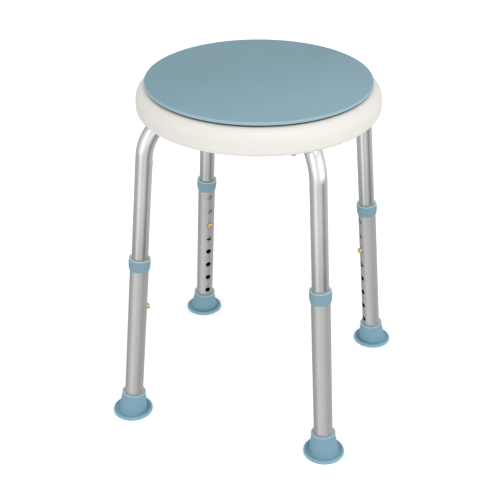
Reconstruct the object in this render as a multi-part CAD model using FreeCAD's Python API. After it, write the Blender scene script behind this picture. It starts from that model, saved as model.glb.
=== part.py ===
# Round shower stool: a moulded seat with a swivel disc, on four splayed telescopic legs.
# Millimetres. +Z is up, the origin is on the floor under the middle of the seat.
# Each leg is drawn in its own frame: Z along the leg, X outwards, origin where its axis meets the floor.
import FreeCAD, Part

import os
from math import asin, atan, cos, degrees, radians, sin, sqrt

V = FreeCAD.Vector

# ---- driving dimensions ----------------------------------------------------------------
LEGS = {"br": 45, "bl": 135, "fl": 225, "fr": 315}  # leg name: direction round the seat, degrees
FLOOR_R = 201.2  # leg axis on the floor, from the middle
SPLAY = atan(0.0989)  # lean of each leg, inwards going up

TUBE_WALL = 1.2
LOWER_R = 12.7  # 1 in tube
UPPER_R = 11.1  # 7/8 in tube
LOWER_FROM, LOWER_TO = 6.5, 245.8  # along the leg
UPPER_FROM = 143.7
HOLE_PITCH = 25.4
HOLE_COUNT = 8
HOLE_R = 4.25
FIRST_HOLE = 43.7
LOCKED_HOLE = 5  # counted from the lowest, which is 0
LOCK_AT = FIRST_HOLE + LOCKED_HOLE * HOLE_PITCH

BEND_FROM_Z = 393.0
BEND_R = 59.0
TUBE_END_R = 34.0  # inner end of each tube's level run

BUTTON_R = 3.95
BUTTON_TIP = 17.4  # from the leg axis
BUTTON_BACK = 6.9
SPRING_T = 0.5

COLLAR_FROM, COLLAR_TO = 231.2, 248.6
FOOT_TOP = 32.2
SOLE_R = 27.8
SOLE_T = 4.6

DISC_R = 148.0
DISC_TOP = 472.0
DISC_T = 3.2
DISC_EDGE_Z = 468.0
SEAT_TOP = 466.0
SEAT_R = 160.0
SEAT_UNDER = 431.0
SHOULDER_R = 19.0
HEM_R = 8.0
WALL = 3.2
RIB_T = 2.4
RIB_UNDER = 434.0

HUB_R = 12.0
BUSH_OUT = 15.98
BUSH_IN = 12.05
BOSS_R = 24.0
BOSS_UNDER = 436.0
GLIDE_R = (96.0, 104.0)
GLIDE_SINK = 1.0

CRADLE_IN = 13.4  # half the gap between a tube's two cradle walls
CLAMP_UNDER = 425.7
# Each clamp's screws: along the tube from the middle, and to its side.
SCREW_AT = ((74.0, 21.0), (112.0, 21.0), (74.0, -21.0), (136.0, -21.0))
SCREW_R = 1.85
SCREW_HEAD_R = 4.0
SCREW_HEAD_H = 3.0

# ---- shared helpers --------------------------------------------------------------------
ORIGIN, X, Y, Z = V(0, 0, 0), V(1, 0, 0), V(0, 1, 0), V(0, 0, 1)
LEAN = V(-sin(SPLAY), 0, cos(SPLAY))
FLOOR = V(FLOOR_R, 0, 0)
BEND_FROM = FLOOR + LEAN * (BEND_FROM_Z / cos(SPLAY))
BEND_C = BEND_FROM + V(-cos(SPLAY), 0, -sin(SPLAY)) * BEND_R
RUN_Z = BEND_C.z + BEND_R  # height of the level run's axis


def turned(shape, azimuth):
    out = shape.copy()
    out.rotate(ORIGIN, Z, azimuth)
    return out


def on_leg(shape):
    """From the leg's own frame to a leg that stands along +X."""
    out = shape.copy()
    out.rotate(ORIGIN, Y, -degrees(SPLAY))
    out.translate(FLOOR)
    return out


def cylinder(radius, low, high, centre=(0, 0)):
    return Part.makeCylinder(radius, high - low, V(centre[0], centre[1], low), Z)


def box(x, y, z):
    return Part.makeBox(x[1] - x[0], y[1] - y[0], z[1] - z[0], V(x[0], y[0], z[0]))


def revolved(path):
    """A solid of revolution about Z. A path entry is (r, z), or (r, z, via_r, via_z) for an arc to (r, z)."""
    at = [V(p[0], 0, p[1]) for p in path]
    edges = []
    for n, p in enumerate(path):
        a, b = at[n - 1], at[n]
        if len(p) == 4:
            edges.append(Part.Arc(a, V(p[2], 0, p[3]), b).toShape())
        elif (a - b).Length > 1e-6:
            edges.append(Part.makeLine(a, b))
    face = Part.Face(Part.Wire(edges))
    return face.revolve(ORIGIN, Z, 360)


def fused(shapes):
    return shapes[0].fuse(shapes[1:]).removeSplitter()


def arc_mid(centre_r, centre_z, radius, up=1):
    """A point halfway round a quarter arc, on its outer side."""
    return centre_r + radius * sqrt(0.5), centre_z + up * radius * sqrt(0.5)


def rod(radius, leg_from=UPPER_FROM, end_r=TUBE_END_R):
    """A solid along the upper tube's path: up the leg, round the bend and in under the seat."""
    start = FLOOR + LEAN * leg_from
    straight = Part.makeCylinder(radius, (BEND_FROM - start).Length, start, LEAN)
    round_face = Part.Face(Part.Wire(Part.makeCircle(radius, BEND_FROM, LEAN)))
    bend = round_face.revolve(BEND_C, V(0, -1, 0), 90 - degrees(SPLAY))
    top = V(BEND_C.x, 0, RUN_Z)
    level = Part.makeCylinder(radius, top.x - end_r, top, V(-1, 0, 0))
    return fused([straight, bend, level])


def inward(shape, at):
    """Lay a shape that points up along the leg so that it points at the middle, at a place along the leg."""
    out = shape.copy()
    out.rotate(ORIGIN, Y, -90)
    out.translate(V(0, 0, at))
    return out


# ---- legs ------------------------------------------------------------------------------
def upper_tube():
    bore = rod(UPPER_R - TUBE_WALL, UPPER_FROM - 1, TUBE_END_R - 1)
    button_hole = inward(cylinder(HOLE_R, 5, 20), LOCK_AT)
    return rod(UPPER_R).cut(bore).cut(on_leg(button_hole))


def lower_tube():
    tube = cylinder(LOWER_R, LOWER_FROM, LOWER_TO).cut(
        cylinder(LOWER_R - TUBE_WALL, LOWER_FROM - 1, LOWER_TO + 1)
    )
    drill = cylinder(HOLE_R, 5, 20)
    holes = [inward(drill, FIRST_HOLE + n * HOLE_PITCH) for n in range(HOLE_COUNT)]
    return on_leg(tube.cut(holes))


def collar():
    bore, throat = LOWER_R + 0.02, UPPER_R + 0.45
    path = [
        (13.4, COLLAR_FROM),
        (14.75, COLLAR_FROM + 10, 14.45, COLLAR_FROM + 4.6),
        (14.35, COLLAR_TO - 0.7, 14.75, COLLAR_TO - 4.2),
        (13.75, COLLAR_TO, 14.2, COLLAR_TO - 0.15),
        (13.3, COLLAR_TO),
        (throat, COLLAR_TO - 1.3),
        (throat, LOWER_TO + 0.02),
        (bore, LOWER_TO + 0.02),
        (bore, COLLAR_FROM),
    ]
    return on_leg(revolved(path))


def foot():
    """Rubber foot: a tapered sleeve on the leg's axis, with a level flared sole."""
    grip = LOWER_R + 0.02
    sleeve = revolved(
        [
            (0, 2.4),
            (20.3, 2.4),
            (19.8, 7.5),
            (16.15, 28.6),
            (16.6, 29.6, 16.42, 28.95),
            (16.6, FOOT_TOP - 0.8),
            (15.8, FOOT_TOP, 16.37, FOOT_TOP - 0.23),
            (0, FOOT_TOP),
        ]
    )
    bore = revolved(
        [
            (0, 5.0),
            (grip, 5.0),
            (grip, 29.6),
            (14.9, FOOT_TOP + 0.1, 13.3, 31.25),
            (0, FOOT_TOP + 0.1),
        ]
    )
    sole = revolved(
        [
            (0, 0),
            (SOLE_R - 1.0, 0),
            (SOLE_R, 1.2),
            (SOLE_R, 2.9),
            (SOLE_R - 1.7, SOLE_T, SOLE_R - 0.45, SOLE_T - 0.55),
            (SOLE_R - 2.8, SOLE_T),
            (SOLE_R - 3.8, SOLE_T - 0.9),
            (0, SOLE_T - 0.9),
        ]
    )
    sole.translate(FLOOR)
    tread = [
        cylinder(r, -1, 0.9, (FLOOR_R, 0)).cut(cylinder(r - 1.4, -1, 0.9, (FLOOR_R, 0)))
        for r in (23.0, 18.0)
    ]
    return fused([on_leg(sleeve), sole]).cut(on_leg(bore)).cut(tread)


def foot_washer():
    return on_leg(cylinder(LOWER_R - 0.3, 5.0, LOWER_FROM))


def snap_button():
    flange_r, front, dome = 4.9, BUTTON_BACK + 1.3, 2.0
    ball = (BUTTON_R**2 + dome**2) / (2 * dome)
    half = asin(BUTTON_R / ball) / 2
    path = [
        (0, BUTTON_BACK),
        (flange_r, BUTTON_BACK),
        (flange_r, front),
        (BUTTON_R, front),
        (BUTTON_R, BUTTON_TIP - dome),
        (0, BUTTON_TIP, ball * sin(half), BUTTON_TIP - ball * (1 - cos(half))),
    ]
    return on_leg(inward(revolved(path), LOCK_AT))


def button_spring():
    """V-shaped leaf: one arm behind the button, the other against the tube's outer side."""
    back, wall, t = BUTTON_BACK, 8.9, SPRING_T
    low, knee, apex = LOCK_AT - 11, LOCK_AT + 11, LOCK_AT + 44
    outline = [
        (-back, low), (-back, knee), (wall - 4.1, apex - 0.8), (wall - 1.7, apex), (wall, apex - 2),
        (wall, low + 4), (wall - t, low + 4), (wall - t, apex - 2.2), (wall - 1.8, apex - 0.6),
        (wall - 3.8, apex - 1.4), (-back + t, knee - 0.1), (-back + t, low),
    ]  # fmt: skip
    points = [V(x, -4, z) for x, z in outline]
    leaf = Part.Face(Part.makePolygon(points + points[:1])).extrude(V(0, 8, 0))
    return on_leg(leaf)


def tube_plug():
    flange = Part.makeCylinder(UPPER_R - 0.1, 2, V(TUBE_END_R - 2, 0, RUN_Z), X)
    stem = Part.makeCylinder(UPPER_R - TUBE_WALL - 0.02, 14, V(TUBE_END_R, 0, RUN_Z), X)
    return fused([flange, stem])


# ---- seat ------------------------------------------------------------------------------
def seat_skin():
    """Top plate and rolled rim, in one wall."""
    sc_r, sc_z = SEAT_R - SHOULDER_R, SEAT_TOP - SHOULDER_R
    hc_r, hc_z = SEAT_R - HEM_R, SEAT_UNDER + HEM_R
    return revolved(
        [
            (BUSH_OUT + 0.02, SEAT_TOP),
            (sc_r, SEAT_TOP),
            (SEAT_R, sc_z, *arc_mid(sc_r, sc_z, SHOULDER_R)),
            (SEAT_R, hc_z),
            (hc_r, SEAT_UNDER, *arc_mid(hc_r, hc_z, HEM_R, -1)),
            (hc_r - 1.5, SEAT_UNDER),
            (SEAT_R - WALL, sc_z),
            (sc_r, SEAT_TOP - WALL, *arc_mid(sc_r, sc_z, SHOULDER_R - WALL)),
            (BUSH_OUT + 0.02, SEAT_TOP - WALL),
        ]
    )


def under_seat():
    """The space inside the skin, taken a little way into its walls, that every rib is trimmed to."""
    sc_r, sc_z = SEAT_R - SHOULDER_R, SEAT_TOP - SHOULDER_R
    return revolved(
        [
            (BUSH_OUT + 0.02, SEAT_UNDER),
            (SEAT_R - HEM_R - 1.2, SEAT_UNDER),
            (SEAT_R - WALL + 0.5, sc_z),
            (sc_r, SEAT_TOP - WALL + 0.5, *arc_mid(sc_r, sc_z, SHOULDER_R - WALL + 0.5)),
            (BUSH_OUT + 0.02, SEAT_TOP - WALL + 0.5),
        ]
    )


def seat_ribs():
    rib_z = (RIB_UNDER, SEAT_TOP)
    ribs = [cylinder(BOSS_R, BOSS_UNDER, SEAT_TOP)]
    for r in (60.0, 104.0):
        ring = cylinder(r + RIB_T / 2, *rib_z).cut(cylinder(r - RIB_T / 2, RIB_UNDER - 1, SEAT_TOP + 1))
        ribs.append(ring)
    for quarter in range(4):
        for azimuth, inner in ((0, BOSS_R - 2), (-22.5, 60.0), (22.5, 60.0)):
            blade = box((inner, SEAT_R), (-RIB_T / 2, RIB_T / 2), rib_z)
            ribs.append(turned(blade, 90 * quarter + azimuth))
    for azimuth in LEGS.values():
        for side in (-1, 1):
            y = sorted((side * CRADLE_IN, side * (CRADLE_IN + RIB_T)))
            ribs.append(turned(box((BOSS_R - 6, SEAT_R), y, rib_z), azimuth))
        for at in SCREW_AT:
            ribs.append(turned(cylinder(5.5, SEAT_UNDER, SEAT_TOP, at), azimuth))
    return ribs


def saddles():
    """Webs between the cradle walls, each resting on the top half of its tube."""
    webs = []
    for r in (46.0, 82.0, 98.0):
        web = box((r - 1.5, r + 1.5), (-CRADLE_IN - 0.5, CRADLE_IN + 0.5), (RUN_Z, SEAT_TOP - 1))
        webs.append(web.cut(Part.makeCylinder(UPPER_R + 0.02, 10, V(r - 5, 0, RUN_Z), X)))
    return webs


def seat_shell():
    ribs = [r.common(under_seat()) for r in seat_ribs()]
    shell = fused([seat_skin()] + ribs)
    room = rod(UPPER_R + 1, LOCK_AT, BOSS_R + 0.2)
    below = box((BOSS_R + 0.2, 147), (-CRADLE_IN, CRADLE_IN), (SEAT_UNDER - 1, RUN_Z))
    for azimuth in LEGS.values():
        shell = shell.cut([turned(room, azimuth), turned(below, azimuth)])
        shell = shell.fuse([turned(s, azimuth) for s in saddles()])
        for at in SCREW_AT:
            pilot = cylinder(SCREW_R + 0.05, SEAT_UNDER - 1, 451, at)
            shell = shell.cut(turned(pilot, azimuth))
    groove = cylinder(GLIDE_R[1] + 0.1, SEAT_TOP - GLIDE_SINK, SEAT_TOP + 1).cut(
        cylinder(GLIDE_R[0] - 0.1, SEAT_TOP - GLIDE_SINK, SEAT_TOP + 1)
    )
    return shell.cut(groove).removeSplitter()


def leg_clamp():
    """Moulded block that holds a tube's bend up into its cradle, with a screwed flange each side."""
    z = (CLAMP_UNDER, SEAT_UNDER)
    parts = [box((66, 140), (-CRADLE_IN + 0.5, CRADLE_IN - 0.5), (CLAMP_UNDER, RUN_Z - 5))]
    for side in (-1, 1):
        first, last = sorted(along for along, offset in SCREW_AT if offset * side > 0)
        parts.append(box((first - 5, last + 5), sorted((0, side * 21)), z))
        parts.append(box((first, last), sorted((0, side * 26)), z))
        parts += [cylinder(5, *z, (along, side * 21)) for along in (first, last)]
    body = fused(parts).cut(rod(UPPER_R + 0.05, LOCK_AT, 50))
    for at in SCREW_AT:
        body = body.cut(cylinder(SCREW_R + 0.35, CLAMP_UNDER - 1, SEAT_UNDER + 1, at))
    return max(body.Solids, key=lambda s: s.Volume)


def clamp_screws():
    """Four pan-head screws in each clamp, for all four clamps."""
    head_under = CLAMP_UNDER - SCREW_HEAD_H
    head = revolved(
        [
            (0, head_under),
            (SCREW_HEAD_R - 1.2, head_under),
            (SCREW_HEAD_R, head_under + 1.2, SCREW_HEAD_R - 0.35, head_under + 0.35),
            (SCREW_HEAD_R, CLAMP_UNDER),
            (0, CLAMP_UNDER),
        ]
    )
    screw = fused([cylinder(SCREW_R, CLAMP_UNDER - 0.5, 448), head])
    for arm in (((-2.3, 2.3), (-0.45, 0.45)), ((-0.45, 0.45), (-2.3, 2.3))):
        screw = screw.cut(box(arm[0], arm[1], (head_under - 1, head_under + 1.3)))
    out = []
    for azimuth in LEGS.values():
        for along, offset in SCREW_AT:
            one = screw.copy()
            one.translate(V(along, offset, 0))
            out.append(turned(one, azimuth))
    return Part.makeCompound(out)


# ---- swivel ----------------------------------------------------------------------------
def swivel_disc():
    under = DISC_TOP - DISC_T
    plate = revolved(
        [
            (0, DISC_TOP),
            (DISC_R - 1.4, DISC_TOP),
            (DISC_R, DISC_TOP - 1.4, DISC_R - 0.41, DISC_TOP - 0.41),
            (DISC_R, DISC_EDGE_Z + 0.6),
            (DISC_R - 0.6, DISC_EDGE_Z, DISC_R - 0.18, DISC_EDGE_Z + 0.18),
            (DISC_R - 3, DISC_EDGE_Z),
            (DISC_R - 3, under),
            (0, under),
        ]
    )
    hub = cylinder(HUB_R, BOSS_UNDER - 0.3, under + 1)
    pilot = cylinder(3.0, BOSS_UNDER - 1, 460)
    return fused([plate, hub]).cut(pilot)


def pivot_bush():
    body = cylinder(BUSH_OUT, BOSS_UNDER + 0.4, SEAT_TOP + 0.5)
    flange = cylinder(21, SEAT_TOP, SEAT_TOP + 1.5)
    return fused([body, flange]).cut(cylinder(BUSH_IN, BOSS_UNDER, SEAT_TOP + 2))


def glide_ring():
    low, high = SEAT_TOP - GLIDE_SINK, DISC_TOP - DISC_T
    return cylinder(GLIDE_R[1], low, high).cut(cylinder(GLIDE_R[0], low - 1, high + 1))


def pivot_washer():
    top = BOSS_UNDER - 0.3
    return cylinder(19, top - 1.5, top).cut(cylinder(3.2, top - 2, top + 1))


def pivot_screw():
    seat = BOSS_UNDER - 1.8
    head = revolved(
        [
            (0, seat - 3.6),
            (5.2, seat - 3.6),
            (6.6, seat - 2.2, 6.19, seat - 3.19),
            (6.6, seat),
            (0, seat),
        ]
    )
    corners = [V(2.3 * cos(radians(60 * n)), 2.3 * sin(radians(60 * n)), 0) for n in range(6)]
    socket = Part.Face(Part.makePolygon(corners + corners[:1])).extrude(V(0, 0, 2.2))
    socket.translate(V(0, 0, seat - 3.7))
    return fused([head, cylinder(2.98, seat - 0.5, 457)]).cut(socket)


# ---- all parts, one file each ----------------------------------------------------------
PER_LEG = {
    "upper_tube": upper_tube,
    "lower_tube": lower_tube,
    "collar": collar,
    "foot": foot,
    "foot_washer": foot_washer,
    "snap_button": snap_button,
    "button_spring": button_spring,
    "tube_plug": tube_plug,
    "leg_clamp": leg_clamp,
}
SINGLE = {
    "seat_shell": seat_shell,
    "clamp_screws": clamp_screws,
    "swivel_disc": swivel_disc,
    "pivot_bush": pivot_bush,
    "glide_ring": glide_ring,
    "pivot_washer": pivot_washer,
    "pivot_screw": pivot_screw,
}

os.makedirs("parts", exist_ok=True)
for name, make in SINGLE.items():
    make().exportStep("parts/%s.step" % name)
for name, make in PER_LEG.items():
    shape = make()
    for leg, azimuth in LEGS.items():
        turned(shape, azimuth).exportStep("parts/%s_%s.step" % (name, leg))
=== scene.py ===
from math import atan, cos, degrees, exp, pi, radians, sin, sqrt

import bmesh
import bpy
from mathutils import Matrix, Vector


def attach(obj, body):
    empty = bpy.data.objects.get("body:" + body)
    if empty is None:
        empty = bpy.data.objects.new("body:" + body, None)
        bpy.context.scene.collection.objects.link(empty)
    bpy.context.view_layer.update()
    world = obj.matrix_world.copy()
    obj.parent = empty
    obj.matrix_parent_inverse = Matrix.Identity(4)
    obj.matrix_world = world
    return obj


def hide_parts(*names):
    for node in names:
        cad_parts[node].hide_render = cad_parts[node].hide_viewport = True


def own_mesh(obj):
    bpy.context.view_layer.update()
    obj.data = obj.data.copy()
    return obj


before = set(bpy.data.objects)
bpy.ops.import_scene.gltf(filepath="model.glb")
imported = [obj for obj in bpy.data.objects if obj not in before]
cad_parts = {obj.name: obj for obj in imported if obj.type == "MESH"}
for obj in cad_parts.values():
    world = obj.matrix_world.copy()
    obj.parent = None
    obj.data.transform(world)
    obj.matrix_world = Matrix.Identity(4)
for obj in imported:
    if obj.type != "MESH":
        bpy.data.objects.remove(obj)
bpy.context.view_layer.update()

# ---- sizes -----------------------------------------------------------------------------
# Sizes are in millimetres, as on the part's drawing, and MM turns them into metres. A leg is drawn
# in its own frame: Z along the leg, X outwards, with its origin where its axis meets the floor.
MM = 0.001
LEGS = {"br": 45, "bl": 135, "fl": 225, "fr": 315}  # leg name: direction round the seat, degrees
SPLAY = atan(0.0989)
FLOOR_R = 201.2  # from the seat's axis to the middle of a foot

LOWER_R, UPPER_R, TUBE_WALL = 12.7, 11.1, 1.2
LOWER_FROM, LOWER_TO = 6.5, 245.8
UPPER_FROM, TUBE_END_R = 143.7, 34.0
FIRST_HOLE, HOLE_PITCH, HOLE_R, HOLE_COUNT = 43.7, 25.4, 4.25, 8
LOCK_AT = FIRST_HOLE + 5 * HOLE_PITCH
BEND_FROM_Z, BEND_R = 393.0, 59.0
BEND_AT = BEND_FROM_Z / cos(SPLAY)

COLLAR_FROM, COLLAR_TO = 231.2, 248.6
FOOT_TOP, SOLE_R = 32.2, 27.8
TREAD_DEPTH = 0.9
GRIP_R = LOWER_R + 0.02
BUTTON_R, BUTTON_TIP, BUTTON_BACK = 3.95, 17.4, 6.9
BUTTON_FLANGE_R = 4.9
SPRING_WALL_X, SPRING_T = 8.9, 0.5

DISC_R, DISC_TOP, DISC_EDGE_Z, DISC_LIP = 148.0, 472.0, 468.0, 3.0
DISC_HUB_R, DISC_HUB_FROM_Z = 12.0, 435.7
PILOT_R, PILOT_TO_Z = 3.0, 444.0  # the pivot screw's hole in the disc's hub
SEAT_R, SEAT_TOP, SEAT_UNDER, SEAT_WALL = 160.0, 466.0, 431.0, 3.2
SHOULDER_R, HEM_R = 19.0, 8.0
GLIDE_GROOVE = (95.9, 104.1, 1.0)  # inner and outer radius, depth
HUB_R, HUB_WALL_R, HUB_FROM_Z = 16.0, 24.0, 436.0  # the seat's boss round the swivel bush
RIB_HALF_T, RIB_FROM_Z, RIB_TO_Z = 1.2, 434.0, 463.5
RIB_OUT_R, RIB_TOP_OUT_R, RIB_CORNER = 153.2, 149.0, 4.0
RING_RIBS = (60.0, 104.0)
RADIAL_RIBS = ((0, 22.0), (-22.5, 60.0), (22.5, 60.0))  # turn from a quarter's start, inner radius
CRADLE_FROM_R = 20.0
CRADLE_SIDE = (13.4, 15.8)  # from the leg's middle to the near and far faces of a side wall
CRADLE_CLEAR = 15.0  # from the leg's middle to the ends of the ring ribs
CRADLE_RESTS = (46.0, 82.0, 98.0)  # radii of the walls that lie across the tube's top
REST_FROM_Z, REST_HALF_T, REST_HALF_W = 454.5, 1.5, 13.6
SCREW_AT = ((74.0, 21.0), (112.0, 21.0), (74.0, -21.0), (136.0, -21.0))  # along the leg, to its side
SCREW_BOSS_R = 5.5


# ---- meshes ----------------------------------------------------------------------------
def add_mesh(name, verts, faces, body, standing=(), sharp=40):
    """A smooth-shaded piece that rides on a body, its vertices given in millimetres."""
    mesh = bpy.data.meshes.new(name)
    mesh.from_pydata([tuple(c * MM for c in v) for v in verts], [], faces)
    mesh.validate()
    for p in mesh.polygons:
        p.use_smooth = True
    mesh.set_sharp_from_angle(angle=radians(sharp))
    obj = bpy.data.objects.new(name, mesh)
    bpy.context.scene.collection.objects.link(obj)
    even = obj.modifiers.new("even", "WEIGHTED_NORMAL")
    even.keep_sharp = True
    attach(obj, body)
    if standing:
        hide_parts(*standing)
    return obj


def store_straight(obj, coords):
    """Keeps each point's place on the straight, unbent piece, in millimetres, for the materials."""
    attribute = obj.data.attributes.new("straight", "FLOAT_VECTOR", "POINT")
    attribute.data.foreach_set("vector", [c for v in coords for c in v])


def arc(centre_r, centre_z, radius, start, end, steps):
    """Points (r, z) on an arc; its angles are in degrees from outwards, up."""
    turn = [radians(start + (end - start) * k / steps) for k in range(steps + 1)]
    return [(centre_r + radius * cos(a), centre_z + radius * sin(a)) for a in turn]


def fillet(path, steps=6):
    """Rounds the corners of a path of (r, z) or (r, z, radius) points."""
    out = []
    for n, p in enumerate(path):
        if len(p) < 3 or n in (0, len(path) - 1):
            out.append(Vector(p[:2]))
            continue
        here, before, after = Vector(p[:2]), Vector(path[n - 1][:2]), Vector(path[n + 1][:2])
        a, b = (before - here).normalized(), (after - here).normalized()
        half = a.angle(b) / 2
        back = min(p[2] / sin(half) * cos(half), 0.49 * (before - here).length, 0.49 * (after - here).length)
        radius = back * sin(half) / cos(half)
        start, end = here + a * back, here + b * back
        centre = here + (a + b).normalized() * (radius / sin(half))
        for k in range(steps + 1):
            spoke = (start - centre).lerp(end - centre, k / steps)
            out.append(centre + spoke.normalized() * radius)
    return [(v.x, v.y) for v in out]


def rings(rows, closed=False):
    """Vertices and quads for a stack of rings, each a list of the same number of points."""
    verts = [p for row in rows for p in row]
    segments, count = len(rows[0]), len(rows)
    faces = []
    for i in range(count if closed else count - 1):
        j = (i + 1) % count
        for k in range(segments):
            m = (k + 1) % segments
            faces.append((i * segments + k, i * segments + m, j * segments + m, j * segments + k))
    return verts, faces


def lathe(path, segments, closed=False):
    """A path of (r, z) points turned round Z."""
    turn = [(cos(2 * pi * k / segments), sin(2 * pi * k / segments)) for k in range(segments)]
    return rings([[(r * c, r * s, z) for c, s in turn] for r, z in path], closed)


def prism(near, far):
    """A closed solid between two outlines; near is anticlockwise when seen from its outer side."""
    n = len(near)
    faces = [tuple(range(n)), tuple(reversed(range(n, 2 * n)))]
    faces += [(k, n + k, n + (k + 1) % n, (k + 1) % n) for k in range(n)]
    return near + far, faces


def merged(parts):
    """The vertices and faces of several solids as one mesh."""
    verts, faces = [], []
    for their_verts, their_faces in parts:
        base = len(verts)
        verts += their_verts
        faces += [tuple(base + i for i in face) for face in their_faces]
    return verts, faces


def leg_matrix(azimuth):
    """From a leg's own frame to the part's frame."""
    turn = Matrix.Rotation(radians(azimuth), 4, "Z")
    return turn @ Matrix.Translation((FLOOR_R, 0, 0)) @ Matrix.Rotation(-SPLAY, 4, "Y")


def moved(verts, matrix):
    return [tuple(matrix @ Vector(v)) for v in verts]


# ---- materials -------------------------------------------------------------------------
def add_node(tree, kind, settings=None, **inputs):
    """A shader node. Its inputs are i0, i1 and so on by place, or by name; a socket is linked."""
    n = tree.nodes.new("ShaderNode" + kind)
    for key, value in (settings or {}).items():
        setattr(n, key, value)
    for key, value in inputs.items():
        by_place = key[0] == "i" and key[1:].isdigit()
        socket = n.inputs[int(key[1:])] if by_place else n.inputs[key.replace("_", " ")]
        if isinstance(value, bpy.types.NodeSocket):
            tree.links.new(value, socket)
        else:
            socket.default_value = value
    return n


class Finish:
    """A node material in the making: most methods add nodes and return an output socket."""

    def __init__(self, name, **constants):
        self.material = bpy.data.materials.new(name)
        self.material.use_nodes = True
        self.tree = self.material.node_tree
        self.shader = self.tree.nodes["Principled BSDF"]
        for key, value in constants.items():
            self.shader.inputs[key.replace("_", " ")].default_value = value

    def node(self, kind, settings=None, **inputs):
        return add_node(self.tree, kind, settings, **inputs)

    def place(self, scale=(1, 1, 1), straight=False):
        """Where a point is, in millimetres, on the piece or on its straight form."""
        if straight:
            where = self.node("Attribute", {"attribute_name": "straight"}).outputs["Vector"]
            factor = scale
        else:
            where = self.node("TexCoord").outputs["Object"]
            factor = tuple(1000 * s for s in scale)
        return self.node("VectorMath", {"operation": "MULTIPLY"}, i0=where, i1=factor).outputs[0]

    def height(self, straight=False):
        return self.node("SeparateXYZ", i0=self.place(straight=straight)).outputs["Z"]

    def noise(self, where, scale, detail=3.0, rough=0.55, distort=0.0):
        shape = {"Scale": scale, "Detail": detail, "Roughness": rough, "Distortion": distort}
        return self.node("TexNoise", Vector=where, **shape).outputs["Fac"]

    def fade(self, value, low, high, to_low=0.0, to_high=1.0):
        return self.node("MapRange", i0=value, i1=low, i2=high, i3=to_low, i4=to_high).outputs[0]

    def mix(self, share, a, b):
        a, b = ((*colour, 1.0) if isinstance(colour, tuple) else colour for colour in (a, b))
        return self.node("Mix", {"data_type": "RGBA"}, i0=share, i6=a, i7=b).outputs[2]

    def maths(self, operation, a, b=0.0):
        return self.node("Math", {"operation": operation}, i0=a, i1=b).outputs[0]

    def bump(self, height, distance):
        n = self.node("Bump", Height=height, Distance=distance, Strength=1.0)
        self.tree.links.new(n.outputs[0], self.shader.inputs["Normal"])

    def into(self, **sockets):
        for key, value in sockets.items():
            self.tree.links.new(value, self.shader.inputs[key.replace("_", " ")])
        return self.material


def painted(f, colour, bands, straight):
    """The colour with bands of painted light and painted shade on it, each soft over a fraction of a
    millimetre.
    """
    for inner, outer, low, paint in bands:
        flat = f.place((1, 1, 0), straight)
        radius = f.node("VectorMath", {"operation": "LENGTH"}, i0=flat).outputs["Value"]
        ring = f.maths("MULTIPLY", f.fade(radius, inner - 0.4, inner), f.fade(radius, outer + 0.3, outer))
        share = f.maths("MULTIPLY", ring, f.fade(f.height(straight), low - 0.3, low))
        colour = f.mix(share, colour, paint)
    return colour


def plastic(name, light, dark, rough, grain=0.35, depth=0.00002, bands=(), straight=False, painted_light_direction=None):
    """Moulded plastic or rubber: faint flow marks in the colour, and a fine moulded grain.

    A band is a ring of another colour, painted light or painted shade: its two radii, the height that it
    starts at, and the colour.
    Its measures are on the straight piece, if that is asked for.
    Painted light: the lighter colour takes over along the last argument's direction.
    """
    f = Finish(name)
    where = f.place()
    flow = f.noise(where, 0.012, 4.0, 0.5, 0.4)
    fine = f.noise(where, grain, 3.0, 0.6)
    share = f.fade(flow, 0.35, 0.65)
    if painted_light_direction:
        # painted light: a gradient towards the lighter colour along the given direction
        along = f.node("VectorMath", {"operation": "DOT_PRODUCT"}, i0=where, i1=painted_light_direction).outputs["Value"]
        share = f.maths("ADD", f.fade(flow, 0.35, 0.65, 0.0, 0.2), f.fade(along, -30, 105, 0.0, 0.8))
    broad = f.mix(share, dark, light)
    colour = f.mix(f.fade(fine, 0.25, 0.75, 0.0, 0.18), broad, dark)
    colour = painted(f, colour, bands, straight)
    f.bump(fine, depth)
    return f.into(Base_Color=colour, Roughness=f.fade(fine, 0.3, 0.7, rough - 0.04, rough + 0.04))


def aluminium(name, light, dark, rough, streak_depth, speckle=0.0, seed=0.0, darker_below=(0, 1, 1.0)):
    """Drawn tube: fine streaks that run along it, soft clouding across them, and a little grit.

    Its colour is darker below the first height given along the tube than above the second, scaled by the
    third value.
    """
    f = Finish(name, Metallic=1.0)
    along = f.place((1, 1, 0.012), straight=True)
    offset = (seed, seed * 0.7, seed * 1.3)
    shifted = f.node("VectorMath", {"operation": "ADD"}, i0=along, i1=offset).outputs[0]
    streaks = f.noise(shifted, 1.6, 4.0, 0.62)
    broad = f.noise(shifted, 0.22, 2.0, 0.5)
    cloud = f.noise(f.place(straight=True), 0.03, 3.0, 0.5)
    grit = f.noise(f.place(straight=True), 1.3, 2.0, 0.7)
    fine_share = f.maths("MULTIPLY", streaks, streak_depth)
    tone = f.maths("ADD", fine_share, f.maths("MULTIPLY", broad, 1 - streak_depth))
    colour = f.mix(f.fade(tone, 0.35, 0.65), dark, light)
    # darker towards the bottom of the tube: the colour is scaled down below the first given height
    darkening = f.fade(f.height(straight=True), darker_below[0], darker_below[1], darker_below[2], 1.0)
    colour = f.node("VectorMath", {"operation": "SCALE"}, i0=colour, i3=darkening).outputs[0]
    colour = f.mix(f.fade(grit, 0.66, 0.74, 0.0, speckle), colour, (0.95, 0.95, 0.94))
    f.bump(f.maths("ADD", streaks, f.maths("MULTIPLY", grit, 0.4)), 0.00001)
    return f.into(Base_Color=colour, Roughness=f.fade(cloud, 0.3, 0.7, rough - 0.03, rough + 0.05))


def plain_metal(name, light, dark, rough):
    """Plated or turned small parts."""
    f = Finish(name, Metallic=1.0)
    wear = f.noise(f.place(), 0.6, 3.0, 0.6)
    colour = f.mix(f.fade(wear, 0.35, 0.65), dark, light)
    f.bump(wear, 0.00001)
    return f.into(Base_Color=colour, Roughness=f.fade(wear, 0.3, 0.7, rough - 0.05, rough + 0.08))


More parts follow.
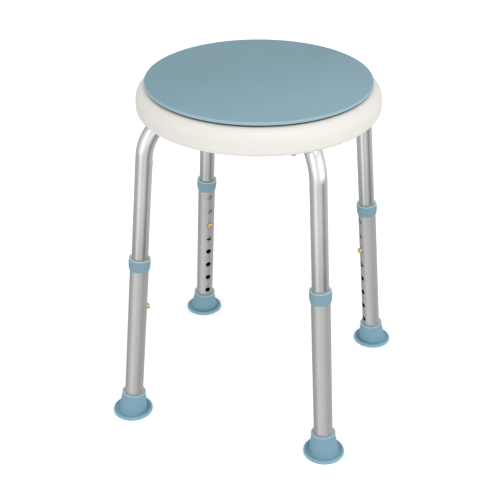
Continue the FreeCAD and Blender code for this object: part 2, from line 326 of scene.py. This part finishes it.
SEAT_WHITE = plastic(
    "seat_white", (0.735, 0.715, 0.668), (0.71, 0.69, 0.64), 0.42, 0.5,
    bands=[(143.0, 148.3, 465.6, (0.14, 0.17, 0.18))],  # painted shadow under the disc's edge
)
DISC_BLUE = plastic(
    "disc_blue", (0.217, 0.363, 0.431), (0.166, 0.286, 0.343), 0.45, 0.9, 0.00003,
    bands=[(147.2, 160, 0, (0.29, 0.42, 0.47))],  # painted highlight along the disc's edge
    # painted light: the disc is painted lighter towards the front right
    painted_light_direction=(0.76, -0.65, 0),
)
COLLAR_BLUE = plastic(
    "collar_blue", (0.187, 0.325, 0.388), (0.168, 0.298, 0.357), 0.45, 0.9, straight=True,
    bands=[
        (0, 99, 247.8, (0.40, 0.53, 0.58)),  # painted highlight on the top edge
        (0, 12.9, 247.0, (0.64, 0.75, 0.80)),  # painted light on the lip round the upper tube, over the shade of the gap
    ],
)
FOOT_BLUE = plastic(
    "foot_blue", (0.180, 0.345, 0.432), (0.164, 0.316, 0.398), 0.6, 1.1, 0.00004, straight=True,
    bands=[
        (0, 99, 31.2, (0.33, 0.48, 0.54)),  # painted highlight on the sleeve's top edge
        (0, 14.0, 30.4, (0.62, 0.74, 0.79)),  # painted light on the lip round the lower tube, over the shade of the gap
        (24.8, 99, -1, (0.206, 0.400, 0.495)),  # painted highlight on the sole's rim
    ],
)
NYLON = plastic("nylon", (0.82, 0.81, 0.77), (0.74, 0.73, 0.69), 0.5)
PLUG = plastic("plug_grey", (0.06, 0.063, 0.067), (0.04, 0.042, 0.045), 0.55)
# darker towards the bottom of the upper tube
UPPER_METAL = aluminium(
    "tube_upper", (0.80, 0.80, 0.80), (0.73, 0.73, 0.73), 0.20, 0.6, darker_below=(250, 340, 0.77)
)
LOWER_METAL = aluminium(
    "tube_lower", (0.645, 0.64, 0.635), (0.585, 0.58, 0.575), 0.50, 0.75, speckle=0.5, seed=7.0
)
# painted shade: the bore is near black, for the shade inside the tube
BORE_SHADE_METAL = plain_metal("tube_inside", (0.10, 0.10, 0.10), (0.06, 0.06, 0.06), 0.6)
BRASS = plain_metal("brass", (0.80, 0.62, 0.26), (0.66, 0.49, 0.18), 0.30)
STEEL = plain_metal("steel", (0.55, 0.55, 0.55), (0.42, 0.42, 0.42), 0.35)


def dress(obj, material):
    """Gives a piece its material."""
    obj.data.materials.clear()
    obj.data.materials.append(material)


# ---- seat and disc ---------------------------------------------------------------------
def make_disc():
    """Thin disc with a small gate mark in the middle, a turned-down edge and a hub underneath."""
    inner, under = DISC_R - DISC_LIP, DISC_EDGE_Z + 0.8
    path = [
        (0.01, DISC_TOP - 0.25), (1.9, DISC_TOP - 0.25), (2.2, DISC_TOP), (70, DISC_TOP),
        (DISC_R, DISC_TOP, 1.5), (DISC_R, DISC_EDGE_Z, 0.6), (inner, DISC_EDGE_Z, 0.3),
        (inner, under), (DISC_HUB_R + 3, under, 1.5), (DISC_HUB_R, under - 1.8, 0.5),
        (DISC_HUB_R, DISC_HUB_FROM_Z, 0.6), (PILOT_R, DISC_HUB_FROM_Z), (PILOT_R, PILOT_TO_Z),
        (0.01, PILOT_TO_Z),
    ]
    disc = add_mesh("disc", *lathe(fillet(path), 256), "seat_disc", ["swivel_disc"])
    dress(disc, DISC_BLUE)


def seat_outline():
    """Section of the seat's skin: flat top with the glide ring's groove, shoulder and rolled hem."""
    groove_in, groove_out, depth = GLIDE_GROOVE
    shoulder, shoulder_z, hem = SEAT_R - SHOULDER_R, SEAT_TOP - SHOULDER_R, SEAT_R - HEM_R
    outer = [
        (HUB_R, SEAT_TOP), (groove_in, SEAT_TOP), (groove_in, SEAT_TOP - depth),
        (groove_out, SEAT_TOP - depth), (groove_out, SEAT_TOP), (125, SEAT_TOP),
    ]
    outer += arc(shoulder, shoulder_z, SHOULDER_R, 90, 0, 24)
    outer += arc(hem, SEAT_UNDER + HEM_R, HEM_R, 0, -90, 12)
    outer += [(hem - 1.5, SEAT_UNDER)]
    inner = arc(shoulder, shoulder_z, SHOULDER_R - SEAT_WALL, 0, 90, 12)
    return outer + inner + [(HUB_R, SEAT_TOP - SEAT_WALL)]


def slab(corners, low, high):
    """An upright prism on a polygon of (x, y) corners."""
    return prism([(x, y, high) for x, y in corners], [(x, y, low) for x, y in corners])


def bar(azimuth, x0, x1, y0, y1):
    """The corners of a rectangle that is turned round Z."""
    a = radians(azimuth)
    corners = ((x0, y0), (x1, y0), (x1, y1), (x0, y1))
    return [(x * cos(a) - y * sin(a), x * sin(a) + y * cos(a)) for x, y in corners]


def arc_band(r, start, end, steps=18):
    """The corners of a ring rib's arc."""
    a = [radians(start + (end - start) * k / steps) for k in range(steps + 1)]
    inner, outer = r - RIB_HALF_T, r + RIB_HALF_T
    corners = [(outer * cos(t), outer * sin(t)) for t in a]
    return corners + [(inner * cos(t), inner * sin(t)) for t in reversed(a)]


def rib(azimuth, inner):
    """A radial wall from the inner radius to the rim, its top corner cut off where the rim curves."""
    a, low = radians(azimuth), RIB_FROM_Z - 0.3
    outline = [
        (inner, low), (RIB_OUT_R, low), (RIB_OUT_R, RIB_TO_Z - RIB_CORNER), (RIB_TOP_OUT_R, RIB_TO_Z),
        (inner, RIB_TO_Z),
    ]
    sides = [
        [(x * cos(a) - y * sin(a), x * sin(a) + y * cos(a), z) for x, z in outline]
        for y in (-RIB_HALF_T, RIB_HALF_T)
    ]
    return prism(*sides)


def leg_cradle(azimuth):
    """The walls, screw bosses and rests that hold one upper tube under the seat."""
    a = radians(azimuth)
    near, far = CRADLE_SIDE
    parts = []
    for y0, y1 in ((-far, -near), (near, far)):
        wall = bar(azimuth, CRADLE_FROM_R, RIB_TOP_OUT_R, y0, y1)
        parts.append(slab(wall, RIB_FROM_Z, RIB_TO_Z))
    for along, side in SCREW_AT:
        x, y = along * cos(a) - side * sin(a), along * sin(a) + side * cos(a)
        turn = [2 * pi * k / 32 for k in range(32)]
        boss = [(x + SCREW_BOSS_R * cos(t), y + SCREW_BOSS_R * sin(t)) for t in turn]
        parts.append(slab(boss, SEAT_UNDER, RIB_TO_Z))
    for r in CRADLE_RESTS:
        rest = bar(azimuth, r - REST_HALF_T, r + REST_HALF_T, -REST_HALF_W, REST_HALF_W)
        parts.append(slab(rest, REST_FROM_Z, RIB_TO_Z))
    return parts


def make_seat():
    """The seat's skin, with its boss, ribs and leg cradles underneath, as one piece."""
    hub = [(HUB_WALL_R, RIB_TO_Z), (HUB_WALL_R, HUB_FROM_Z), (HUB_R, HUB_FROM_Z), (HUB_R, RIB_TO_Z)]
    parts = [lathe(seat_outline(), 256, closed=True), lathe(hub, 64)]
    for r in RING_RIBS:
        gap = degrees(atan(CRADLE_CLEAR / r))
        for azimuth in LEGS.values():
            parts.append(slab(arc_band(r, azimuth + gap, azimuth + 90 - gap), RIB_FROM_Z, RIB_TO_Z))
    for quarter in range(4):
        for azimuth, inner in RADIAL_RIBS:
            parts.append(rib(90 * quarter + azimuth, inner))
    for azimuth in LEGS.values():
        parts += leg_cradle(azimuth)
    seat = add_mesh("seat", *merged(parts), "seat_frame", ["seat_shell"], 35)
    dress(seat, SEAT_WHITE)


# ---- legs ------------------------------------------------------------------------------
def tube_path():
    """The upper tube's centre line on a leg at azimuth 0: points, their directions and lengths so far.

    The points are closer together by the crease, just below the bend.
    """
    lean = Vector((-sin(SPLAY), 0, cos(SPLAY)))
    floor = Vector((FLOOR_R, 0, 0))
    out = []
    step, fine_count, bend_count, end_count = 12.0, 13, 60, 4
    fine_from = BEND_AT - step
    u = UPPER_FROM
    while u < fine_from:
        out.append((floor + lean * u, lean, u))
        u += step
    for k in range(fine_count):
        out.append((floor + lean * (fine_from + k), lean, fine_from + k))
    inward = Vector((-cos(SPLAY), 0, -sin(SPLAY)))
    centre = floor + lean * BEND_AT + inward * BEND_R
    turned = pi / 2 - SPLAY
    for k in range(1, bend_count + 1):
        t = turned * k / bend_count
        spoke = -inward * cos(t) + lean * sin(t)
        ahead = inward * sin(t) + lean * cos(t)
        out.append((centre + spoke * BEND_R, ahead, BEND_AT + BEND_R * t))
    last, _, u = out[-1]
    run = last.x - TUBE_END_R
    for k in range(1, end_count + 1):
        done = run * k / end_count
        out.append((last + Vector((-done, 0, 0)), Vector((-1, 0, 0)), u + done))
    return out


def crease(theta, u):
    """Height of the small wrinkle that bending left on the inner side of the tube.

    It is a ridge with a shallow dip above it, both just below the bend.
    """

    def bell(height, below_bend, width):
        return height * exp(-(((u - BEND_AT + below_bend) / width) ** 2))

    inner_side = max(0.0, -cos(theta)) ** 2.5
    return inner_side * (bell(0.6, 8.5, 3.0) + bell(-0.35, 0.5, 3.6))


def make_upper_tube(leg, azimuth):
    """The bent tube as one skin: up its outer wall, and back down its bore."""
    segments = 96
    turn = Matrix.Rotation(radians(azimuth), 3, "Z")
    side = Vector((0, 1, 0))
    path = tube_path()
    rows, straight = [], []

    def ring(index, radius, wrinkled):
        at, ahead, u = path[index]
        out = side.cross(ahead)
        row = []
        for k in range(segments):
            t = 2 * pi * k / segments
            r = radius + (crease(t, u) if wrinkled else 0.0)
            row.append(tuple(turn @ (at + (out * cos(t) + side * sin(t)) * r)))
            straight.append((radius * cos(t), radius * sin(t), u))
        rows.append(row)

    ring(0, UPPER_R - 0.25, False)
    for n in range(len(path)):
        ring(n, UPPER_R, True)
    for n in reversed(range(len(path))):
        ring(n, UPPER_R - TUBE_WALL, False)
    name, stands_for = "upper_tube_mesh_" + leg, ["upper_tube_" + leg]
    tube = add_mesh(name, *rings(rows, closed=True), "seat_frame", stands_for, 60)
    store_straight(tube, straight)
    dress(tube, UPPER_METAL)


def outward_facing(mesh):
    bm = bmesh.new()
    bm.from_mesh(mesh)
    bmesh.ops.recalc_face_normals(bm, faces=bm.faces)
    bm.to_mesh(mesh)
    bm.free()


def new_object(name, verts, faces):
    """A plain working object in millimetres, its faces turned outwards."""
    mesh = bpy.data.meshes.new(name)
    mesh.from_pydata(verts, [], faces)
    outward_facing(mesh)
    obj = bpy.data.objects.new(name, mesh)
    bpy.context.scene.collection.objects.link(obj)
    return obj


def drilled_tube():
    """The lower tube with its row of holes on the inner side, in the leg's own frame."""
    bore_r = LOWER_R - TUBE_WALL
    wall = [(bore_r, LOWER_FROM), (LOWER_R, LOWER_FROM), (LOWER_R, LOWER_TO), (bore_r, LOWER_TO)]
    body = new_object("drilled", *lathe(wall, 128, closed=True))
    turn = [2 * pi * k / 48 for k in range(48)]
    pins = []
    for n in range(HOLE_COUNT):
        at = FIRST_HOLE + n * HOLE_PITCH
        ends = ([(x, HOLE_R * cos(t), at + HOLE_R * sin(t)) for t in turn] for x in (-20, -5))
        pins.append(prism(*ends))
    cutter = new_object("drill", *merged(pins))
    cut = body.modifiers.new("cut", "BOOLEAN")
    cut.operation, cut.object, cut.solver = "DIFFERENCE", cutter, "EXACT"
    bpy.context.view_layer.update()
    result = bpy.data.meshes.new_from_object(body.evaluated_get(bpy.context.evaluated_depsgraph_get()))
    out = [tuple(v.co) for v in result.vertices], [tuple(p.vertices) for p in result.polygons]
    bpy.data.objects.remove(body)
    bpy.data.objects.remove(cutter)
    return out


def round_normals(mesh, local, turn):
    """Smooths the tube's round walls exactly, whatever faces the drilling left on them."""
    normals = []
    for p in mesh.polygons:
        flat = turn.inverted() @ p.normal
        for v in p.vertices:
            x, y, _ = local[v]
            r = sqrt(x * x + y * y)
            outwards = (flat.x * x + flat.y * y) / r
            if abs(outwards) > 0.96 and abs(flat.z) < 0.2:
                sign = 1 if outwards > 0 else -1
                normals.append(turn @ Vector((sign * x / r, sign * y / r, 0)))
            else:
                normals.append(p.normal.copy())
    mesh.normals_split_custom_set(normals)


def make_lower_tube(leg, azimuth, drilled):
    """The drilled tube on its leg, with a near-black material on its bore as painted shade."""
    local, faces = drilled
    place = leg_matrix(azimuth)
    name, stands_for = "lower_tube_mesh_" + leg, ["lower_tube_" + leg]
    tube = add_mesh(name, moved(local, place), faces, "leg_" + leg, stands_for, 35)
    store_straight(tube, local)
    mesh = tube.data
    round_normals(mesh, local, place.to_3x3())
    tube.modifiers.clear()  # it has its normals already
    dress(tube, LOWER_METAL)
    # painted shade inside the bore
    mesh.materials.append(BORE_SHADE_METAL)
    for p in mesh.polygons:
        rims = [sqrt(local[v][0] ** 2 + local[v][1] ** 2) for v in p.vertices]
        if max(rims) < LOWER_R - TUBE_WALL + 0.1:
            p.material_index = 1


def make_collar(leg, azimuth):
    """Barrel-shaped sleeve on the lower tube's end, its lip close round the upper tube."""
    seat_z, throat = LOWER_TO + 0.02, UPPER_R + 0.3
    path = [
        (GRIP_R, COLLAR_FROM), (13.35, COLLAR_FROM, 0.25), (14.15, 233.4, 2.0), (14.75, 238.5, 4.0),
        (14.8, 243.5, 4.0), (14.35, COLLAR_TO, 0.8), (13.3, COLLAR_TO, 0.6), (throat, 248.0, 0.2),
        (throat, seat_z), (GRIP_R, seat_z),
    ]
    local, faces = lathe(fillet(path), 96, closed=True)
    verts = moved(local, leg_matrix(azimuth))
    collar = add_mesh("collar_mesh_" + leg, verts, faces, "leg_" + leg, ["collar_" + leg])
    store_straight(collar, local)
    dress(collar, COLLAR_BLUE)


def make_foot(leg, azimuth):
    """One skin: level rings for the sole and its tread, then rings that lean over with the sleeve."""
    level = [(0.01, 0)]
    for groove in (16.6, 21.6):
        level += [(groove, 0), (groove, TREAD_DEPTH), (groove + 1.4, TREAD_DEPTH), (groove + 1.4, 0)]
    level += [
        (27.2, 0, 0.4), (SOLE_R, 1.0, 0.6), (SOLE_R, 3.1, 1.0), (26.2, 4.6, 0.8), (25.2, 4.6, 0.5),
        (24.2, 3.8, 0.6), (22.1, 3.75),
    ]
    sleeve = [
        (20.6, 4.4), (19.8, 7.3, 3.0), (16.2, 28.2, 0.8), (16.6, 29.2, 0.6), (16.6, FOOT_TOP, 1.0),
        (14.9, FOOT_TOP, 0.7), (12.9, 31.3, 0.8), (GRIP_R, 30.2), (GRIP_R, 5.0), (0.01, 5.0),
    ]
    segments = 96
    sole_path = fillet(level)
    local, faces = lathe(sole_path + fillet(sleeve), segments)
    split = len(sole_path) * segments
    stand = Matrix.Rotation(radians(azimuth), 4, "Z") @ Matrix.Translation((FLOOR_R, 0, 0))
    verts = moved(local[:split], stand) + moved(local[split:], leg_matrix(azimuth))
    foot = add_mesh("foot_mesh_" + leg, verts, faces, "leg_" + leg, ["foot_" + leg])
    store_straight(foot, local)
    dress(foot, FOOT_BLUE)


def make_button(leg, azimuth):
    """Flanged pin with a low dome, its axis across the leg."""
    dome_height, steps = 2.0, 10
    back, side = BUTTON_TIP - dome_height, BUTTON_BACK + 1.3
    turn = [radians(90 * k / steps) for k in range(1, steps + 1)]
    dome = [(BUTTON_R * sin(a), back + dome_height * cos(a)) for a in turn]
    path = [
        (0.01, BUTTON_BACK), (BUTTON_FLANGE_R, BUTTON_BACK), (BUTTON_FLANGE_R, side), (BUTTON_R, side),
        *reversed(dome), (0.01, BUTTON_TIP),
    ]
    local, faces = lathe(path, 48)
    across = Matrix.Translation((0, 0, LOCK_AT)) @ Matrix.Rotation(-pi / 2, 4, "Y")
    verts = moved(local, leg_matrix(azimuth) @ across)
    button = add_mesh("button_mesh_" + leg, verts, faces, "button_" + leg, ["snap_button_" + leg])
    dress(button, BRASS)


def make_spring(leg, azimuth):
    """V-shaped leaf in the tube: one arm behind the button, the other against the tube's outer side.

    The real leaf closes towards the outer arm as the button is pressed; here it is fixed, just clear of the
    button.
    """
    back, wall, thick, half_width = -BUTTON_BACK, SPRING_WALL_X, SPRING_T, 4.0
    low, knee, apex = LOCK_AT - 11, LOCK_AT + 11, LOCK_AT + 44
    outer = [
        (back, low), (back, knee, 2.0), (wall - 4.1, apex - 0.8, 0.8), (wall - 1.7, apex, 0.8),
        (wall, apex - 2, 0.8), (wall, low + 4),
    ]
    inner = [
        (wall - thick, low + 4), (wall - thick, apex - 2.2, 0.4), (wall - 1.8, apex - 0.6, 0.3),
        (wall - 3.8, apex - 1.4, 0.3), (back + thick, knee - 0.1, 1.5), (back + thick, low),
    ]
    outline = fillet(outer) + fillet(inner)
    local, faces = prism(*([(x, y, z) for x, z in outline] for y in (-half_width, half_width)))
    place = leg_matrix(azimuth)
    verts = moved(local, place)
    spring = add_mesh("spring_mesh_" + leg, verts, faces, "seat_frame", ["button_spring_" + leg])
    dress(spring, STEEL)
    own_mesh(spring)


make_disc()
make_seat()
drilled = drilled_tube()
for leg, azimuth in LEGS.items():
    make_upper_tube(leg, azimuth)
    make_lower_tube(leg, azimuth, drilled)
    make_collar(leg, azimuth)
    make_foot(leg, azimuth)
    make_button(leg, azimuth)
    make_spring(leg, azimuth)

# ---- the CAD nodes' materials ----------------------------------------------------------
NODE_MATERIAL = {
    "seat_shell": SEAT_WHITE, "leg_clamp": SEAT_WHITE, "swivel_disc": DISC_BLUE, "collar": COLLAR_BLUE,
    "foot": FOOT_BLUE, "upper_tube": UPPER_METAL, "lower_tube": LOWER_METAL, "snap_button": BRASS,
    "button_spring": STEEL, "clamp_screws": STEEL, "pivot_washer": STEEL, "pivot_screw": STEEL,
    "foot_washer": STEEL, "pivot_bush": NYLON, "glide_ring": NYLON, "tube_plug": PLUG,
}


def dress_cad_nodes():
    for name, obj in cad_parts.items():
        on_leg = name[-3:-2] == "_" and name[-2:] in LEGS
        obj.data.materials.clear()
        obj.data.materials.append(NODE_MATERIAL[name[:-3] if on_leg else name])
        for p in obj.data.polygons:
            p.use_smooth = True
        obj.data.set_sharp_from_angle(angle=radians(35))


dress_cad_nodes()


# ---- floor -----------------------------------------------------------------------------
def make_floor():
    """A white floor, left out of glossy reflections.

    The tubes then reflect the bands of light and shade that stand round a studio set instead.
    """
    far = 40  # metres each way
    f = Finish("floor_white", Roughness=0.9, Emission_Color=(1, 1, 1, 1), Emission_Strength=0.28)
    cloud = f.noise(f.place(), 0.002, 2.0)
    f.into(Base_Color=f.mix(cloud, (0.90, 0.90, 0.90), (0.92, 0.92, 0.92)))
    mesh = bpy.data.meshes.new("floor")
    corners = [(-far, -far, 0), (far, -far, 0), (far, far, 0), (-far, far, 0)]
    mesh.from_pydata(corners, [], [(0, 1, 2, 3)])
    mesh.materials.append(f.material)
    floor = bpy.data.objects.new("floor", mesh)
    bpy.context.scene.collection.objects.link(floor)
    floor.visible_glossy = False


# ---- light -----------------------------------------------------------------------------
CAMERA_BACK = Vector((0.3261, -0.9453, 0.0))
CAMERA_RIGHT = Vector((0.9453, 0.3261, 0.0))
# How bright the set is at each direction round it, in degrees from the camera's side towards its
# right: near the floor, where upright tubes reflect it, and above the horizon, where the bends do.
LOW_BANDS = (
    (-180, 0.50), (-130, 0.50), (-105, 0.48), (-84, 0.52), (-64, 0.70), (-43, 1.10), (-20, 0.84),
    (12, 0.76), (34, 0.62), (56, 0.29), (80, 0.46), (120, 0.66), (180, 0.50),
)
HIGH_BANDS = (
    (-180, 0.50), (-135, 0.50), (-100, 0.65), (-66, 1.00), (-40, 1.55), (-14, 1.10), (8, 1.06),
    (36, 1.40), (66, 1.40), (95, 1.05), (125, 0.70), (180, 0.50),
)
OVERHEAD = 0.65
BRIGHTEST = 2.5  # a colour ramp stops at 1, so the levels are divided by this


def grey(level):
    return (*3 * [level / BRIGHTEST], 1)


def light_world():
    """The studio set: bands of light round the object, a dimmer ceiling, and white behind it."""
    world = bpy.data.worlds.new("studio")
    bpy.context.scene.world = world
    world.use_nodes = True
    tree = world.node_tree
    where = add_node(tree, "TexCoord").outputs["Generated"]

    def dot(axis):
        return add_node(tree, "VectorMath", {"operation": "DOT_PRODUCT"}, i0=where, i1=axis).outputs["Value"]

    turn = add_node(tree, "Math", {"operation": "ARCTAN2"}, i0=dot(CAMERA_RIGHT), i1=dot(CAMERA_BACK))
    share = add_node(tree, "MapRange", i0=turn.outputs[0], i1=-pi, i2=pi).outputs[0]
    rise = dot((0, 0, 1))

    def ramp(bands):
        n = add_node(tree, "ValToRGB", i0=share)
        n.color_ramp.interpolation = "CARDINAL"
        while len(n.color_ramp.elements) < len(bands):
            n.color_ramp.elements.new(0.5)
        for element, (turned, level) in zip(n.color_ramp.elements, bands):
            element.position = (turned + 180) / 360
            element.color = grey(level)
        return n.outputs["Color"]

    def mixed(amount, below, above):
        return add_node(tree, "Mix", {"data_type": "RGBA"}, i0=amount, i6=below, i7=above).outputs[2]

    def by_rise(low, high, below, above):
        smooth = {"interpolation_type": "SMOOTHSTEP"}
        return mixed(add_node(tree, "MapRange", smooth, i0=rise, i1=low, i2=high).outputs[0], below, above)

    sides = by_rise(-0.26, -0.08, ramp(LOW_BANDS), ramp(HIGH_BANDS))
    whole = by_rise(0.45, 0.85, sides, grey(OVERHEAD))
    # The set itself is out of sight: behind the object there is only white, like the floor.
    seen = add_node(tree, "LightPath").outputs["Is Camera Ray"]
    background = tree.nodes["Background"]
    tree.links.new(mixed(seen, whole, grey(1.0)), background.inputs["Color"])
    background.inputs["Strength"].default_value = BRIGHTEST


def softbox(name, place, target, size, watts):
    """A rectangular light at a place, turned to face its target."""
    light = bpy.data.lights.new(name, "AREA")
    light.shape = "RECTANGLE"
    light.size, light.size_y = size
    light.energy = watts
    obj = bpy.data.objects.new(name, light)
    obj.location = place
    obj.rotation_euler = (Vector(target) - Vector(place)).to_track_quat("-Z", "Y").to_euler()
    bpy.context.scene.collection.objects.link(obj)


# ---- camera ----------------------------------------------------------------------------
def make_camera():
    """Looks down at the stool from the front, a little to its right."""
    camera = bpy.data.cameras.new("camera")
    camera.lens = 75.6
    camera.sensor_width = 36.0
    eye = bpy.data.objects.new("camera", camera)
    eye.location = (0.4072, -1.2171, 0.9620)
    aim = Vector((-0.0112, -0.0037, 0.2133)) - eye.location
    roll = Matrix.Rotation(-0.0027, 3, "Z").to_quaternion()
    eye.rotation_mode = "QUATERNION"
    eye.rotation_quaternion = aim.to_track_quat("-Z", "Y") @ roll
    bpy.context.scene.collection.objects.link(eye)
    bpy.context.scene.camera = eye


bpy.context.scene.view_settings.view_transform = "Standard"
make_floor()
light_world()
softbox("top", (0.0, 0.6, 4.5), (0, 0.6, 0), (7.0, 7.0), 62)
softbox("key", (0.36, -0.40, 1.25), (0, 0, 0.45), (0.5, 0.5), 1.6)
make_camera()
